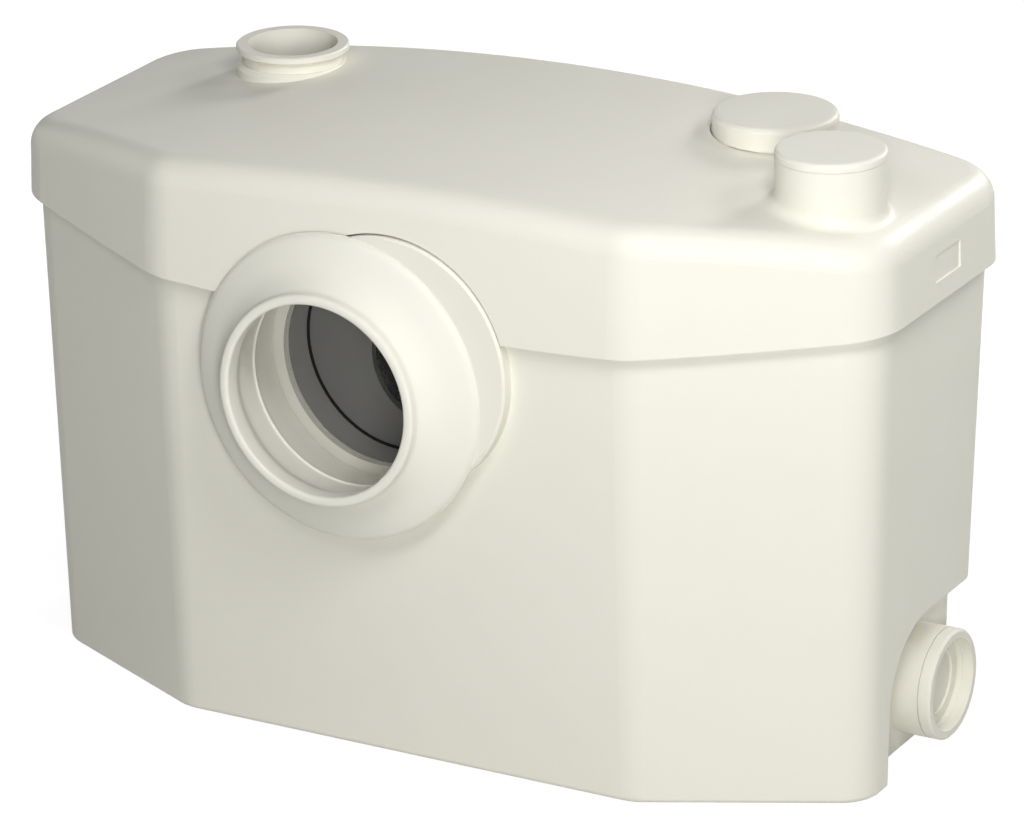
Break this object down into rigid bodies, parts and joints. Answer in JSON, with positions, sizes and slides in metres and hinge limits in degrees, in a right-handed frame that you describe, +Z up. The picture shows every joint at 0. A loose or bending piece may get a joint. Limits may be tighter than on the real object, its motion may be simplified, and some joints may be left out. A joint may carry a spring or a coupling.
{
  "type": "macerator sump pump",
  "caption": "Ivory macerator pump tank with crowned lift-off lid, flared rubber toilet inlet collar, top outlet socket, vent cap, blanked stub and low side socket.",
  "frame": {"origin": "centre of the tank's flat base, midway between its ends and between its front and back faces", "axes": "+X to the right seen from the toilet, +Y back to the wall, +Z up; the toilet inlet faces -Y and the outlet socket faces +Z"},
  "size_m": [0.4384, 0.2004, 0.2876],
  "materials": {
    "ivory_plastic": "satin, very light orange-peel mould texture",
    "ivory_rubber": "soft satin rubber",
    "pale_plastic": "matt",
    "grey_plastic": "matt",
    "dark_plastic": "matt",
    "black_plastic": "fine matt texture",
    "black_rubber": "matt rubber",
    "stainless": "brushed",
    "motor_metal": "cast, dull",
    "laminations": "stacked sheets",
    "copper": "enamelled wire",
    "capacitor_case": "matt",
    "filter_foam": "open foam"
  },
  "bodies": {
    "tank_body": {"tank": "ivory_plastic", "side_ring": "ivory_plastic", "inlet_collar": "ivory_rubber", "inlet_ring": "pale_plastic", "chamber_rim": "grey_plastic", "chamber_plate": "grey_plastic", "pump_cover": "dark_plastic", "pump_body": "dark_plastic", "discharge_pipe": "dark_plastic", "valve_body": "dark_plastic", "pressure_tube": "dark_plastic", "switch_cup": "dark_plastic", "switch_cover": "dark_plastic", "capacitor_holder": "dark_plastic", "motor_cradle": "dark_plastic", "microswitch": "black_plastic", "cable_gland": "black_plastic", "gland_nut": "black_plastic", "inlet_seal": "black_rubber", "shaft_seal": "black_rubber", "outlet_seal": "black_rubber", "motor_pads": "black_rubber", "diaphragm": "black_rubber", "macerator_basket": "stainless", "cradle_screws": "stainless", "check_flap_pin": "stainless", "side_flap_pin": "stainless", "bearing_front": "stainless", "bearing_rear": "stainless", "motor_front": "motor_metal", "motor_can": "motor_metal", "motor_cap": "motor_metal", "stator": "laminations", "windings": "copper", "capacitor": "capacitor_case"},
    "lid": {"lid": "ivory_plastic", "lid_seal": "black_rubber", "vent_filter": "filter_foam"},
    "rotor": {"shaft": "stainless", "rotor": "laminations", "impeller": "dark_plastic", "cutter_blade": "stainless", "cutter_nut": "stainless"},
    "blanking_cap": {"blanking_cap": "ivory_plastic", "blanking_cap_seal": "black_rubber"},
    "vent_cap": {"vent_cap": "ivory_plastic"},
    "side_plug": {"side_plug": "ivory_plastic", "side_plug_seal": "black_rubber"},
    "check_flap": {"check_flap": "dark_plastic"},
    "side_flap": {"side_flap": "dark_plastic"},
    "switch_plunger": {"switch_plunger": "dark_plastic"},
    "switch_lever": {"switch_lever": "stainless"}
  },
  "joints": [
    {"name": "rotor_spin", "type": "hinge", "parent": "tank_body", "child": "rotor", "pos_m": [-0.0056, 0, 0.1694], "axis": [0, 1, 0], "continuous": true},
    {"name": "lid_lift", "type": "slide", "parent": "tank_body", "child": "lid", "axis": [0, 0, 1], "range_m": [0, 0.12]},
    {"name": "blanking_cap_pull", "type": "slide", "parent": "lid", "child": "blanking_cap", "axis": [0, 0, 1], "range_m": [0, 0.04]},
    {"name": "vent_cap_pull", "type": "slide", "parent": "lid", "child": "vent_cap", "axis": [0, 0, 1], "range_m": [0, 0.025]},
    {"name": "side_plug_pull", "type": "slide", "parent": "tank_body", "child": "side_plug", "axis": [1, 0, 0], "range_m": [0, 0.03]},
    {"name": "check_flap_swing", "type": "hinge", "parent": "tank_body", "child": "check_flap", "pos_m": [-0.1224, 0.0635, 0.1915], "axis": [-1, 0, 0], "range_deg": [0, 60]},
    {"name": "side_flap_swing", "type": "hinge", "parent": "tank_body", "child": "side_flap", "pos_m": [0.1857, 0.0456, 0.0542], "axis": [0, 1, 0], "range_deg": [0, 50]},
    {"name": "plunger_lift", "type": "slide", "parent": "tank_body", "child": "switch_plunger", "axis": [0, 0, 1], "range_m": [0, 0.0025], "stiffness_N_per_m": 60},
    {"name": "lever_tilt", "type": "hinge", "parent": "tank_body", "child": "switch_lever", "pos_m": [0.108, -0.02, 0.1372], "axis": [0, 1, 0], "range_deg": [0, 21.25]}
  ],
  "couplings": [
    {"joint": "lever_tilt", "follows": "plunger_lift", "rad_per_m": 148.35}
  ]
}
